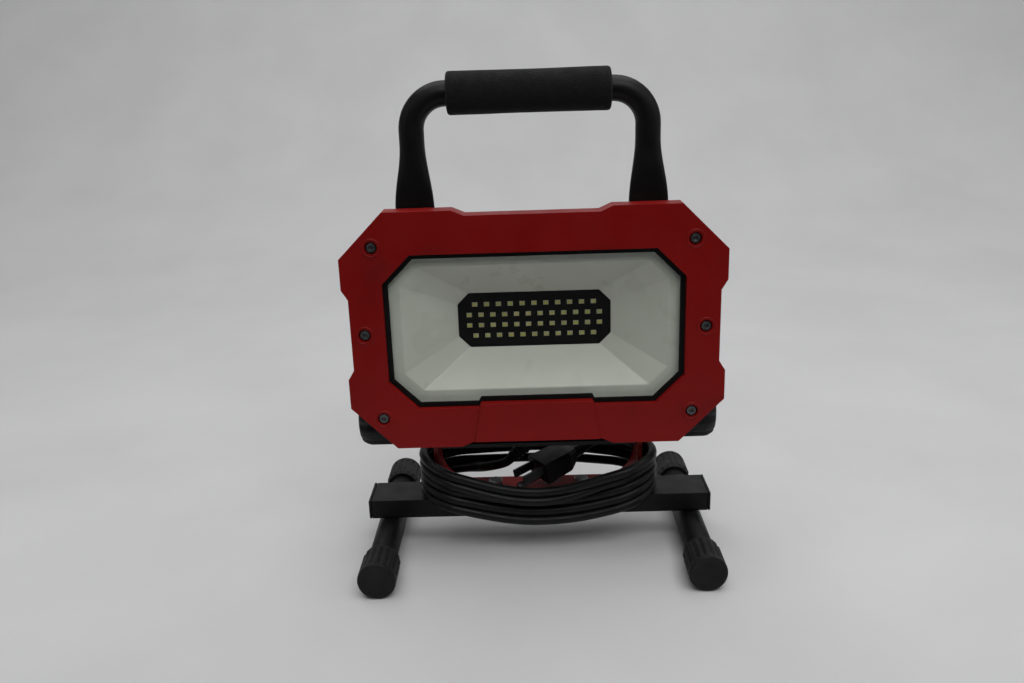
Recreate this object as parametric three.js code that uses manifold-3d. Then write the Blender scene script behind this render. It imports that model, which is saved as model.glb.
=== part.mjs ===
// A corded LED work light: a tilting lamp head with a carry handle, held by a yoke on an H-shaped
// tube stand, with its mains cord wound round the yoke. Millimetres, +Z up, the lamp faces -Y.
import * as THREE from "three";
import { mergeVertices } from "three/addons/utils/BufferGeometryUtils.js";
import Module from "manifold-3d";

// ---- Driving dimensions ----
const GAP = 0.3; // clearance between parts that touch

const PIVOT_Z = 95; // tilt axis above the floor
const HEAD_RISE = 73; // middle of the lamp face above the tilt axis
const FACE_Y = -45; // front of the bezel
const BEZEL_HALF_W = 122;
const BEZEL_HALF_H = 78.7;
const BEZEL_DEPTH = 14;
const BEZEL_WALL = 4;
const CORNER_CUT = 29;
const LOBE_INNER = 30; // where each side lobe starts to step in
const WAIST_HALF = 23.5;
const WAIST_STEP = 4;
const NOTCH_OUTER = 50; // shallow notch in the middle of the top and bottom edges
const NOTCH_INNER = 42;
const NOTCH_DEPTH = 3.5;
const WINDOW_HALF_W = 96;
const WINDOW_HALF_H = 51.3;
const WINDOW_CUT = 18.5;
const STEP_HALF = 38; // raised step in the middle of the window's bottom edge
const STEP_RISE = 3;
const PLATE_PROUD = 1.2;
const SCREW_SPOTS = [
  [101, 56.7],
  [109.1, 0],
  [101, -57.5],
];
const SCREW_HEAD_R = 3.1;
const SCREW_SHANK_R = 1.8;
const SCREW_WELL_R = 4.1;
const SCREW_BOSS_R = 5.6;

const GASKET_LIP = 3.3;
const LENS_THICK = 3;
const REFLECTOR_RIM = 6.5;
const REFLECTOR_BACK_Y = -15;
const REFLECTOR_SKIN = 1.5;
const LED_HALF_W = 50.6;
const LED_HALF_H = 18.4;
const LED_CUT = 7.5;
const LED_PITCH_X = 7.9;
const LED_PITCH_Z = 7.2;
const LED_ROWS = [11, 12, 12, 11];
const CHIP_W = 3.5;
const CHIP_H = 2.8;

const BOX_HALF_W = 66; // rear housing between the yoke's arms
const BOX_LOW = -13; // bottom and top of that box, from the tilt axis
const BOX_HIGH = 126;
const BOX_BACK_Y = 15;
const BOX_WALL = 3;
const FLANGE_THICK = 2.8;
const FIN_HIGH = 7;
const FIN_THICK = 2.4;
const FIN_COUNT = 14;
const FIN_PITCH = 8.6;

const HANDLE_R = 7.95;
const HANDLE_HALF_W = 74;
const HANDLE_Y = -19.8;
const HANDLE_TOP = 220.4; // bar centre above the tilt axis
const HANDLE_BEND_R = 22;
const HANDLE_FOOT = 128;
const HANDLE_FLARE = [150, 190];
const FLAT_HALF_W = 12.4;
const FLAT_HALF_T = 2.5;
const GRIP_R = 13.5;
const GRIP_HALF = 51;

const ARM_HALF = 70; // inner faces of the yoke's arms
const STRAP_THICK = 3;
const STRAP_HALF_W = 13;
const STRAP_BEND_R = 22;
const BAR_HALF_L = 119.5;
const BAR_HALF_W = 15.5;
const BAR_LOW = 22.4;
const BAR_HIGH = 36.4;
const BAR_WALL = 1.6;
const FOOT_X = 107.6;
const FOOT_HALF_L = 84;
const FOOT_TUBE_R = 9.52;
const CAP_R = 12.7;
const CAP_LONG = 28;
const CAP_RIBS = 16;

const PIVOT_BOLT_R = 4;
const KNOB_IN = 75.2;
const KNOB_SHOULDER = 99;
const KNOB_OUT = 124.4;
const KNOB_R = 20;
const KNOB_NECK_R = 11;

const CORD_R = 3.3;
const COIL_ARC_R = 27;
const COIL_STRAIGHT = 54.8;
const COIL_HALF_THICK = 4.2;

const wasm = await Module();
wasm.setup();

// ---- Finishes ----
const finish = (color, roughness, metalness = 0) => ({ color, roughness, metalness });
const RED_PLASTIC = finish(0x9c1f1b, 0.45);
const RED_PAINT = finish(0xa02420, 0.4);
const BLACK_METAL = finish(0x1b1c1d, 0.45, 0.2);
const BLACK_PLASTIC = finish(0x202122, 0.6);
const RUBBER = finish(0x17181a, 0.8);
const FOAM = finish(0x1d1e20, 0.95);
const CORD_JACKET = finish(0x1c1d1f, 0.55);
const STEEL = finish(0x8a8c8e, 0.35, 1);
const ALUMINIUM = finish(0xb4b6b8, 0.4, 1);
const BRASS = finish(0xb08d3c, 0.35, 1);
const LENS_CLEAR = finish(0xdfe5e2, 0.1);
const REFLECTOR_WHITE = finish(0xdedfd6, 0.35);
const BOARD_BLACK = finish(0x141618, 0.5);
const BOARD_GREEN = finish(0x24583a, 0.5);
const TAPE_YELLOW = finish(0xc9a63a, 0.5);

// ---- Solids ----
function toSolid(geometry) {
  const bare = geometry.clone();
  bare.deleteAttribute("normal");
  bare.deleteAttribute("uv");
  const merged = mergeVertices(bare, 1e-4);
  const build = (triVerts) => {
    const vertProperties = new Float32Array(merged.attributes.position.array);
    return new wasm.Manifold(new wasm.Mesh({ numProp: 3, vertProperties, triVerts }));
  };
  const solid = build(new Uint32Array(merged.index.array));
  return solid.volume() > 0 ? solid : build(new Uint32Array(merged.index.array).reverse());
}

function toGeometry(solid) {
  const mesh = solid.getMesh();
  const geometry = new THREE.BufferGeometry();
  geometry.setAttribute("position", new THREE.BufferAttribute(new Float32Array(mesh.vertProperties), 3));
  geometry.setIndex(new THREE.BufferAttribute(new Uint32Array(mesh.triVerts), 1));
  geometry.computeVertexNormals();
  return geometry;
}

const fuse = (...solids) => solids.reduce((sum, one) => sum.add(one));
const carve = (solid, ...cuts) => cuts.reduce((left, cut) => left.subtract(cut), solid);

function box(x0, x1, y0, y1, z0, z1) {
  const geometry = new THREE.BoxGeometry(x1 - x0, y1 - y0, z1 - z0);
  return toSolid(geometry.translate((x0 + x1) / 2, (y0 + y1) / 2, (z0 + z1) / 2));
}

// A plate whose outline lies in the XZ plane, between yFront and yBack.
function plate(points, yFront, yBack) {
  const shape = new THREE.Shape(points.map(([x, z]) => new THREE.Vector2(x, z)));
  const geometry = new THREE.ExtrudeGeometry(shape, { depth: yBack - yFront, bevelEnabled: false });
  return toSolid(geometry.rotateX(Math.PI / 2).translate(0, yBack, 0));
}

// A turned piece: profile points are [radius, distance along the axis].
function turned(profile, axis, at = [0, 0, 0], sides = 16) {
  const points = profile.map(([r, h]) => new THREE.Vector2(r, h));
  const geometry = new THREE.LatheGeometry(points, sides);
  const turn = new THREE.Quaternion().setFromUnitVectors(
    new THREE.Vector3(0, 1, 0),
    new THREE.Vector3(...axis).normalize(),
  );
  return toSolid(geometry.applyQuaternion(turn).translate(...at));
}

const rod = (r, from, to, axis, at, sides) =>
  turned([[0, from], [r, from], [r, to], [0, to]], axis, at, sides);
const ring = (rIn, rOut, from, to, axis, at, sides) =>
  turned([[rIn, from], [rOut, from], [rOut, to], [rIn, to], [rIn, from]], axis, at, sides);

// A closed loft through a list of equal-length section rings, with flat ends or joined end to start.
function loft(sections, closed = false) {
  const sides = sections[0].length;
  const positions = sections.flat(2);
  const index = [];
  const spans = closed ? sections.length : sections.length - 1;
  for (let i = 0; i < spans; i++) {
    const a = i * sides;
    const b = ((i + 1) % sections.length) * sides;
    for (let j = 0; j < sides; j++) {
      const k = (j + 1) % sides;
      index.push(a + j, b + j, b + k, a + j, b + k, a + k);
    }
  }
  if (!closed) {
    const last = (sections.length - 1) * sides;
    for (let j = 1; j < sides - 1; j++) {
      index.push(0, j, j + 1);
      index.push(last, last + j + 1, last + j);
    }
  }
  const geometry = new THREE.BufferGeometry();
  geometry.setAttribute("position", new THREE.BufferAttribute(new Float32Array(positions), 3));
  geometry.setIndex(index);
  return toSolid(geometry);
}

// A round tube or cord along a curve.
function cordAlong(points, radius, steps, sides) {
  const curve = new THREE.CatmullRomCurve3(points.map((p) => new THREE.Vector3(...p)), false, "centripetal");
  const shape = new THREE.Shape();
  for (let i = 0; i < sides; i++) {
    const a = (2 * Math.PI * i) / sides;
    const spot = [radius * Math.cos(a), radius * Math.sin(a)];
    if (i === 0) shape.moveTo(...spot);
    else shape.lineTo(...spot);
  }
  return toSolid(new THREE.ExtrudeGeometry(shape, { steps, extrudePath: curve, bevelEnabled: false }));
}

const root = new THREE.Group();
const head = new THREE.Group();
head.position.z = PIVOT_Z;
root.add(head);

function add(group, name, solid, look, place = [0, 0, 0]) {
  const mesh = new THREE.Mesh(toGeometry(solid), new THREE.MeshStandardMaterial(look));
  mesh.name = name;
  mesh.position.set(...place);
  group.add(mesh);
}

const SIDES = [["left", -1], ["right", 1]];

// ---- Outlines of the lamp face, about its middle and then lifted above the tilt axis ----
const lifted = (points) => points.map(([x, z]) => [x, z + HEAD_RISE]);
const mirrored = (right) => [...right, ...right.map(([x, z]) => [-x, z]).reverse()];

// The bezel's outline, drawn in by inset all round.
function faceOutline(inset) {
  const w = BEZEL_HALF_W - inset;
  const h = BEZEL_HALF_H - inset;
  const cut = CORNER_CUT - 0.586 * inset;
  const right = [
    [NOTCH_INNER, -h + NOTCH_DEPTH],
    [NOTCH_OUTER, -h],
    [w - cut, -h],
    [w, -h + cut],
    [w, -LOBE_INNER],
    [w - WAIST_STEP, -WAIST_HALF],
    [w - WAIST_STEP, WAIST_HALF],
    [w, LOBE_INNER],
    [w, h - cut],
    [w - cut, h],
    [NOTCH_OUTER, h],
    [NOTCH_INNER, h - NOTCH_DEPTH],
  ];
  return lifted(mirrored(right));
}

// The eight-sided window outline, grown by grow, with the step in its bottom edge.
function windowOutline(grow) {
  const w = WINDOW_HALF_W + grow;
  const h = WINDOW_HALF_H + grow;
  const cut = WINDOW_CUT + 0.586 * grow;
  const right = [
    [STEP_HALF - 1.5, -h + STEP_RISE],
    [STEP_HALF, -h],
    [w - cut, -h],
    [w, -h + cut],
    [w, h - cut],
    [w - cut, h],
  ];
  return lifted(mirrored(right));
}

// A plain octagon with 45 degree corners.
function octagon(w, h, cut) {
  return lifted(mirrored([[w - cut, -h], [w, -h + cut], [w, h - cut], [w - cut, h]]));
}

// ---- Bezel, lens and their seals ----
const WINDOW_BACK = FACE_Y + BEZEL_WALL;
const SKIRT_BACK = FACE_Y + BEZEL_DEPTH;
const Y_AXIS = [0, 1, 0];
const Z_AXIS = [0, 0, 1];
const screwSpots = SIDES.flatMap(([side, sign]) =>
  SCREW_SPOTS.map(([x, z], i) => ({ name: `${side}_${["top", "middle", "bottom"][i]}`, x: sign * x, z: z + HEAD_RISE })));

function bezel() {
  const wellFloor = WINDOW_BACK - 0.5;
  let shell = carve(
    plate(faceOutline(0), FACE_Y, SKIRT_BACK),
    plate(faceOutline(3), WINDOW_BACK, SKIRT_BACK + 1),
    plate(windowOutline(0), FACE_Y - 1, SKIRT_BACK),
  );
  const plateTop = -WINDOW_HALF_H + STEP_RISE - 0.3;
  const plateLow = -BEZEL_HALF_H + NOTCH_DEPTH;
  const namePlate = lifted([[-36.3, plateTop], [-41.5, plateLow], [41.5, plateLow], [36.3, plateTop]]);
  shell = fuse(shell, plate(namePlate, FACE_Y - PLATE_PROUD, FACE_Y + 0.5));
  for (const { x, z } of screwSpots) {
    shell = fuse(shell, rod(SCREW_BOSS_R, wellFloor, SKIRT_BACK, Y_AXIS, [x, 0, z], 12));
    shell = carve(
      shell,
      rod(SCREW_WELL_R, FACE_Y - 1, wellFloor, Y_AXIS, [x, 0, z], 12),
      rod(SCREW_SHANK_R + GAP, FACE_Y, SKIRT_BACK + 1, Y_AXIS, [x, 0, z], 8),
    );
  }
  return shell;
}

function bezelScrew() {
  const headBack = WINDOW_BACK - 0.5 - GAP;
  return carve(
    fuse(
      rod(SCREW_HEAD_R, headBack - 2.4, headBack, Y_AXIS, [0, 0, 0], 12),
      rod(SCREW_SHANK_R, headBack - 0.2, SKIRT_BACK + 5, Y_AXIS, [0, 0, 0], 8),
    ),
    rod(1.6, headBack - 3, headBack - 0.9, Y_AXIS, [0, 0, 0], 6),
  );
}

function lensGasket() {
  const front = WINDOW_BACK + GAP;
  const lens = front + 1.2 + GAP;
  return carve(
    plate(windowOutline(5.5), front, lens + LENS_THICK),
    plate(windowOutline(-GASKET_LIP), front - 1, lens + 5),
    plate(windowOutline(3), front + 1.2, lens + 5),
  );
}

// The reflector's faceted funnel: half sizes at a fraction t of its depth, grown by grow.
const REFLECTOR_FRONT_Y = WINDOW_BACK + LENS_THICK + 1.2 + 3 * GAP;
function funnelRing(t, grow) {
  const w = WINDOW_HALF_W - GASKET_LIP - REFLECTOR_RIM;
  const h = WINDOW_HALF_H - GASKET_LIP - REFLECTOR_RIM;
  const mix = (a, b) => a + (b - a) * t;
  const y = mix(REFLECTOR_FRONT_Y, REFLECTOR_BACK_Y);
  const outline = octagon(mix(w, LED_HALF_W) + grow, mix(h, LED_HALF_H) + grow, mix(12, LED_CUT) + 0.586 * grow);
  return outline.map(([x, z]) => [x, y, z]);
}

function reflector() {
  const rim = plate(
    octagon(WINDOW_HALF_W + 2, WINDOW_HALF_H + 2, WINDOW_CUT + 1),
    REFLECTOR_FRONT_Y,
    REFLECTOR_FRONT_Y + REFLECTOR_SKIN,
  );
  const skin = loft([funnelRing(0.001, REFLECTOR_SKIN), funnelRing(1, REFLECTOR_SKIN)]);
  return carve(fuse(rim, skin), loft([funnelRing(-0.1, 0), funnelRing(1.1, 0)]));
}

function ledBoard() {
  const front = REFLECTOR_BACK_Y + 0.4;
  const board = box(-58, 58, front, front + 1.6, HEAD_RISE - 26, HEAD_RISE + 26);
  const chips = LED_ROWS.flatMap((count, row) => {
    const z = HEAD_RISE + (1.5 - row) * LED_PITCH_Z;
    return Array.from({ length: count }, (_, i) => {
      const x = (i - (count - 1) / 2) * LED_PITCH_X;
      return box(x - CHIP_W / 2, x + CHIP_W / 2, front - 0.8, front + 0.1, z - CHIP_H / 2, z + CHIP_H / 2);
    });
  });
  return fuse(board, ...chips);
}

const DRIVER_FRONT_Y = -3.9;
const DRIVER_THICK = 1.6;
function heatSpreader() {
  const front = REFLECTOR_BACK_Y + 0.4 + 1.6 + GAP;
  const posts = [[-30, 60], [30, 60], [-30, 100], [30, 100]].map(([x, z]) =>
    rod(2.5, front + 2, DRIVER_FRONT_Y - GAP, Y_AXIS, [x, 0, z], 12));
  return fuse(box(-60, 60, front, front + 3, HEAD_RISE - 52, HEAD_RISE + 48), ...posts);
}

add(head, "bezel", bezel(), RED_PLASTIC);
const screwShape = bezelScrew();
for (const { name, x, z } of screwSpots) add(head, `bezel_screw_${name}`, screwShape, STEEL, [x, 0, z]);
add(head, "lens_gasket", lensGasket(), RUBBER);
const LENS_FRONT = WINDOW_BACK + 1.2 + 2 * GAP;
add(head, "lens", plate(windowOutline(2.7), LENS_FRONT, LENS_FRONT + LENS_THICK), LENS_CLEAR);
add(head, "reflector", reflector(), REFLECTOR_WHITE);
add(head, "led_board", ledBoard(), BOARD_BLACK);
add(head, "heat_spreader", heatSpreader(), ALUMINIUM);
const driverBack = DRIVER_FRONT_Y + DRIVER_THICK;
add(head, "driver_board", box(-34, 34, DRIVER_FRONT_Y, driverBack, 55, 105), BOARD_GREEN);
add(head, "driver_transformer", box(-24, -4, driverBack + GAP, 10, 70, 88), TAPE_YELLOW);
add(head, "driver_capacitor", rod(6, driverBack + GAP, 9.5, Y_AXIS, [16, 0, 84], 20), BLACK_PLASTIC);

// ---- Rear housing ----
const SEAL_FRONT = SKIRT_BACK - 3;
const FLANGE_FRONT = SKIRT_BACK + GAP;
const FLANGE_BACK = FLANGE_FRONT + FLANGE_THICK;
const SWITCH = { x: 30, z: 9, halfW: 6.5, halfH: 10.4 };
const GLAND = { at: [5, 0, -11], along: [-1, 0, -1], out: 9.4, collarR: 6.6 };
const HANDLE_BOLT_Z = 139;

function housingSeal() {
  const strip = carve(
    plate(faceOutline(3.4), SEAL_FRONT, SKIRT_BACK),
    plate(faceOutline(18), SEAL_FRONT - 1, SKIRT_BACK + 1),
  );
  const bosses = screwSpots.map(({ x, z }) =>
    rod(SCREW_BOSS_R + 2 * GAP, SEAL_FRONT - 1, SKIRT_BACK + 1, Y_AXIS, [x, 0, z], 12));
  return carve(strip, ...bosses);
}

function rearHousing() {
  const mid = HEAD_RISE;
  let body = fuse(
    plate(faceOutline(1.5), FLANGE_FRONT, FLANGE_BACK),
    box(-BOX_HALF_W, BOX_HALF_W, FLANGE_FRONT, BOX_BACK_Y, BOX_LOW, BOX_HIGH),
    box(-82, 82, FLANGE_FRONT, -19, mid - 46, mid + 46),
  );
  const inner = BOX_HALF_W - BOX_WALL;
  body = carve(
    body,
    box(-inner, inner, FLANGE_FRONT - 1, BOX_BACK_Y - BOX_WALL, BOX_LOW + BOX_WALL, BOX_HIGH - BOX_WALL),
    loft([funnelRing(-0.1, REFLECTOR_SKIN + 1), funnelRing(1, REFLECTOR_SKIN + 1)]),
  );
  const fins = Array.from({ length: FIN_COUNT }, (_, i) => {
    const x = (i - (FIN_COUNT - 1) / 2) * FIN_PITCH;
    return box(x - FIN_THICK / 2, x + FIN_THICK / 2, BOX_BACK_Y - 0.5, BOX_BACK_Y + FIN_HIGH, 27, BOX_HIGH - 4);
  });
  body = fuse(body, ...fins, rod(7.5, -4, GLAND.out, GLAND.along, GLAND.at, 20));
  for (const [, sign] of SIDES) {
    body = fuse(body, rod(11, 57, BOX_HALF_W - 1, [sign, 0, 0]));
    body = carve(body, rod(PIVOT_BOLT_R + GAP, 50, 70, [sign, 0, 0]));
    const boltAt = [sign * HANDLE_HALF_W, 0, HANDLE_BOLT_Z];
    body = carve(body, rod(2.8, FLANGE_FRONT - 1, FLANGE_BACK + 1, Y_AXIS, boltAt, 12));
  }
  const holes = screwSpots.map(({ x, z }) =>
    rod(SCREW_SHANK_R + GAP, FLANGE_FRONT - 1, FLANGE_BACK + 1, Y_AXIS, [x, 0, z], 8));
  const { x, z, halfW, halfH } = SWITCH;
  return carve(
    body,
    ...holes,
    box(x - halfW - GAP, x + halfW + GAP, BOX_BACK_Y - 5, BOX_BACK_Y + 1, z - halfH - GAP, z + halfH + GAP),
    rod(5, -12, 12, GLAND.along, GLAND.at, 16),
  );
}

add(head, "housing_seal", housingSeal(), RUBBER);
add(head, "rear_housing", rearHousing(), BLACK_METAL);

// ---- Carry handle ----
const SECTION_SIDES = 12;
const lerp = (a, b, t) => a + (b - a) * t;
const ease = (t) => {
  const held = Math.min(1, Math.max(0, t));
  return held * held * (3 - 2 * held);
};

// One section of the handle: centre [x, y, z], in-plane normal [nx, nz], half sizes in plane and along Y.
function handleSection([x, y, z], [nx, nz], half, halfY) {
  return Array.from({ length: SECTION_SIDES }, (_, i) => {
    const a = (2 * Math.PI * i) / SECTION_SIDES;
    const flat = 1 - Math.min(1, (half - HANDLE_R) / (FLAT_HALF_W - HANDLE_R));
    const power = lerp(0.45, 1, flat);
    const c = Math.sign(Math.cos(a)) * Math.abs(Math.cos(a)) ** power;
    const s = Math.sign(Math.sin(a)) * Math.abs(Math.sin(a)) ** power;
    return [x + nx * half * c, y + halfY * s, z + nz * half * c];
  });
}

function handleTube() {
  const flatY = FLANGE_BACK + GAP + FLAT_HALF_T;
  const leg = [HANDLE_FOOT, HANDLE_FLARE[0], 158, 166, 174, 182, HANDLE_FLARE[1]].map((z) => {
    const t = ease((z - HANDLE_FLARE[0]) / (HANDLE_FLARE[1] - HANDLE_FLARE[0]));
    return {
      centre: [-HANDLE_HALF_W, lerp(flatY, HANDLE_Y, t), z],
      normal: [1, 0],
      half: lerp(FLAT_HALF_W, HANDLE_R, t),
      halfY: lerp(FLAT_HALF_T, HANDLE_R, t),
    };
  });
  const bendX = -HANDLE_HALF_W + HANDLE_BEND_R;
  const bendZ = HANDLE_TOP - HANDLE_BEND_R;
  const bend = Array.from({ length: 8 }, (_, i) => {
    const a = (Math.PI / 2) * (i / 7);
    const normal = [Math.cos(a), -Math.sin(a)];
    const centre = [bendX - HANDLE_BEND_R * normal[0], HANDLE_Y, bendZ - HANDLE_BEND_R * normal[1]];
    return { centre, normal, half: HANDLE_R, halfY: HANDLE_R };
  });
  const left = [...leg, ...bend];
  const right = left.slice().reverse().map(({ centre: [x, y, z], normal: [nx, nz], half, halfY }) =>
    ({ centre: [-x, y, z], normal: [-nx, nz], half, halfY }));
  let tube = loft([...left, ...right].map((s) => handleSection(s.centre, s.normal, s.half, s.halfY)));
  for (const [, sign] of SIDES)
    tube = carve(tube, rod(2.8, flatY - 4, flatY + 4, Y_AXIS, [sign * HANDLE_HALF_W, 0, HANDLE_BOLT_Z], 12));
  return tube;
}

function handleBolt() {
  const seat = FLANGE_BACK + 2 * GAP + 2 * FLAT_HALF_T;
  return fuse(
    rod(4.6, seat, seat + 3.2, Y_AXIS, [0, 0, 0], 6),
    rod(2.5, FLANGE_FRONT + 0.4, seat + 0.2, Y_AXIS, [0, 0, 0], 12),
  );
}

add(head, "handle_tube", handleTube(), BLACK_METAL);
const X_AXIS = [1, 0, 0];
const gripPlace = [0, HANDLE_Y, HANDLE_TOP];
add(head, "handle_grip", ring(HANDLE_R + GAP, GRIP_R, -GRIP_HALF, GRIP_HALF, X_AXIS), FOAM, gripPlace);
const handleBoltShape = handleBolt();
for (const [side, sign] of SIDES)
  add(head, `handle_bolt_${side}`, handleBoltShape, STEEL, [sign * HANDLE_HALF_W, 0, HANDLE_BOLT_Z]);

// ---- Switch, gland and wires ----
function switchBody() {
  const { x, z, halfW, halfH } = SWITCH;
  const face = BOX_BACK_Y + GAP;
  return carve(
    fuse(
      box(x - halfW, x + halfW, -1, face + 0.5, z - halfH, z + halfH),
      box(x - halfW - 3, x + halfW + 3, face, face + 2, z - halfH - 2.5, z + halfH + 2.5),
    ),
    box(x - 5.2, x + 5.2, 7, face + 5, z - 9.3, z + 9.3),
  );
}

// The rocker is drawn about its own pin, with its top edge standing out.
const ROCKER_PIN_Y = 13;
function switchRocker() {
  const outline = [[-3, -7.4], [3.6, -7.4], [2.4, 0], [6.4, 7.4], [-3, 7.4]];
  const shape = new THREE.Shape(outline.map(([y, z]) => new THREE.Vector2(y, z)));
  const geometry = new THREE.ExtrudeGeometry(shape, { depth: 9.4, bevelEnabled: false });
  geometry.translate(0, 0, -4.7).rotateX(Math.PI / 2).rotateZ(Math.PI / 2);
  return toSolid(geometry);
}

function cableGland() {
  const seat = GLAND.out + GAP;
  const wide = GLAND.collarR;
  const profile = [[3.7, -5], [4.7, -5], [4.7, seat], [wide, seat], [wide, seat + 3.5], [3.7, seat + 3.5], [3.7, -5]];
  return turned(profile, GLAND.along, GLAND.at, 20);
}

const RELIEF_START = GLAND.out + 2 * GAP + 3.5;
const RELIEF_END = RELIEF_START + 20;
const alongGland = (distance) =>
  GLAND.at.map((value, i) => value + (GLAND.along[i] * distance) / Math.SQRT2);

add(head, "switch_body", switchBody(), BLACK_PLASTIC);
add(head, "switch_rocker", switchRocker(), RED_PLASTIC, [SWITCH.x, ROCKER_PIN_Y, SWITCH.z]);
add(head, "cable_gland", cableGland(), BLACK_PLASTIC);
const reliefProfile = [[0, RELIEF_START], [6, RELIEF_START], [4.3, RELIEF_END], [0, RELIEF_END]];
add(head, "strain_relief", turned(reliefProfile, GLAND.along, GLAND.at, 16), RUBBER);
const wirePoints = [alongGland(-5.5), [13, -2, -4], [20, -6, 2], [27, -8, 7], [30, -5, 9], [30, -1.4, 9]];
add(head, "supply_wires", cordAlong(wirePoints, 1.7, 14, 8), CORD_JACKET);

// ---- Tilt pivots and knobs ----
function pivotBolt(sign) {
  const axis = [sign, 0, 0];
  return fuse(rod(7.4, 52, 56.7, axis, [0, 0, 0], 6), rod(PIVOT_BOLT_R, 56.5, 112, axis, [0, 0, 0], 20));
}

function tiltKnob(sign) {
  const axis = [sign, 0, 0];
  const bore = PIVOT_BOLT_R + GAP;
  const profile = [
    [0, 114], [bore, 114], [bore, KNOB_IN], [KNOB_NECK_R, KNOB_IN], [KNOB_NECK_R, KNOB_SHOULDER - 2],
    [KNOB_R, KNOB_SHOULDER + 2], [KNOB_R, 118], [18, 122.6], [13, KNOB_OUT], [0, KNOB_OUT],
  ];
  const flutes = Array.from({ length: 8 }, (_, i) => {
    const a = (Math.PI / 4) * (i + 0.5);
    return rod(4, KNOB_SHOULDER - 2, KNOB_OUT + 1, axis, [0, 22 * Math.cos(a), 22 * Math.sin(a)], 8);
  });
  return carve(turned(profile, axis, [0, 0, 0], 24), rod(8, KNOB_IN - 1, 83.2, axis, [0, 0, 0], 6), ...flutes);
}

for (const [side, sign] of SIDES) {
  const axis = [sign, 0, 0];
  const washerIn = BOX_HALF_W + GAP;
  const outer = ARM_HALF + STRAP_THICK + GAP;
  const bore = PIVOT_BOLT_R + GAP;
  add(head, `pivot_bolt_${side}`, pivotBolt(sign), STEEL);
  add(head, `friction_washer_${side}`, ring(bore, 13, washerIn, ARM_HALF - GAP, axis), RUBBER);
  add(head, `knob_washer_${side}`, ring(bore, 10, outer, outer + 1.6, axis), STEEL);
  add(head, `tilt_knob_${side}`, tiltKnob(sign), BLACK_PLASTIC);
  const insert = carve(rod(7.6, 76, 83, axis, [0, 0, 0], 6), rod(bore, 75, 84, axis));
  add(head, `knob_insert_${side}`, insert, BRASS);
}

// ---- Yoke ----
const YOKE_LOW = BAR_HIGH + GAP;
const YOKE_FLOOR = YOKE_LOW + STRAP_THICK;
const YOKE_BOLT_X = 31;
const arc = (cx, cz, r, from, to, steps = 10) =>
  Array.from({ length: steps + 1 }, (_, i) => {
    const a = from + ((to - from) * i) / steps;
    return [cx + r * Math.cos(a), cz + r * Math.sin(a)];
  });

function yoke() {
  const out = ARM_HALF + STRAP_THICK;
  const cx = ARM_HALF - STRAP_BEND_R;
  const cz = YOKE_FLOOR + STRAP_BEND_R;
  const top = PIVOT_Z + STRAP_HALF_W;
  const rOut = STRAP_BEND_R + STRAP_THICK;
  const right = [
    ...arc(cx, cz, rOut, -Math.PI / 2, 0),
    [out, top],
    [ARM_HALF, top],
    ...arc(cx, cz, STRAP_BEND_R, 0, -Math.PI / 2),
  ];
  const leftOuter = arc(-cx, cz, rOut, Math.PI, 1.5 * Math.PI);
  const leftInner = arc(-cx, cz, STRAP_BEND_R, 1.5 * Math.PI, Math.PI);
  const outline = [...right, ...leftInner, [-ARM_HALF, top], [-out, top], ...leftOuter];
  const tips = fuse(
    rod(STRAP_HALF_W, -out - 1, out + 1, X_AXIS, [0, 0, PIVOT_Z], 24),
    box(-out - 1, out + 1, -STRAP_HALF_W, STRAP_HALF_W, YOKE_LOW - 1, PIVOT_Z),
  );
  return carve(
    plate(outline, -STRAP_HALF_W, STRAP_HALF_W).intersect(tips),
    rod(PIVOT_BOLT_R + GAP, -out - 1, out + 1, X_AXIS, [0, 0, PIVOT_Z], 16),
    ...[-YOKE_BOLT_X, YOKE_BOLT_X].map((x) => rod(3.3, YOKE_LOW - 1, YOKE_FLOOR + 1, Z_AXIS, [x, 0, 0], 16)),
  );
}

add(root, "yoke", yoke(), RED_PAINT);

// ---- Crossbar, feet and their fixings ----
function crossbar() {
  const w = BAR_WALL;
  return carve(
    box(-BAR_HALF_L, BAR_HALF_L, -BAR_HALF_W, BAR_HALF_W, BAR_LOW, BAR_HIGH),
    box(-BAR_HALF_L - 1, BAR_HALF_L + 1, -BAR_HALF_W + w, BAR_HALF_W - w, BAR_LOW + w, BAR_HIGH - w),
    ...[-YOKE_BOLT_X, YOKE_BOLT_X].map((x) => rod(3.3, BAR_LOW - 1, BAR_HIGH + 1, Z_AXIS, [x, 0, 0], 16)),
    ...[-FOOT_X, FOOT_X].map((x) => rod(2.8, BAR_LOW - 1, BAR_LOW + w + 1, Z_AXIS, [x, 0, 0], 12)),
  );
}

function endPlug(sign) {
  const stub = BAR_WALL + GAP;
  const xs = [sign * (BAR_HALF_L - 9), sign * (BAR_HALF_L + 1)].sort((a, b) => a - b);
  const lip = [sign * (BAR_HALF_L + GAP), sign * (BAR_HALF_L + 2.3)].sort((a, b) => a - b);
  return fuse(
    box(...xs, -BAR_HALF_W + stub, BAR_HALF_W - stub, BAR_LOW + stub, BAR_HIGH - stub),
    box(...lip, -BAR_HALF_W, BAR_HALF_W, BAR_LOW, BAR_HIGH),
  );
}

function yokeBolt() {
  return fuse(
    rod(5.6, YOKE_FLOOR + GAP, YOKE_FLOOR + 4, Z_AXIS, [0, 0, 0], 6),
    rod(3, 15, YOKE_FLOOR + 1, Z_AXIS, [0, 0, 0], 12),
  );
}

function yokeNut() {
  return carve(rod(5.8, BAR_LOW - 5.3, BAR_LOW - GAP, Z_AXIS, [0, 0, 0], 6), rod(3.3, 10, 30, Z_AXIS, [0, 0, 0], 12));
}

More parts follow.
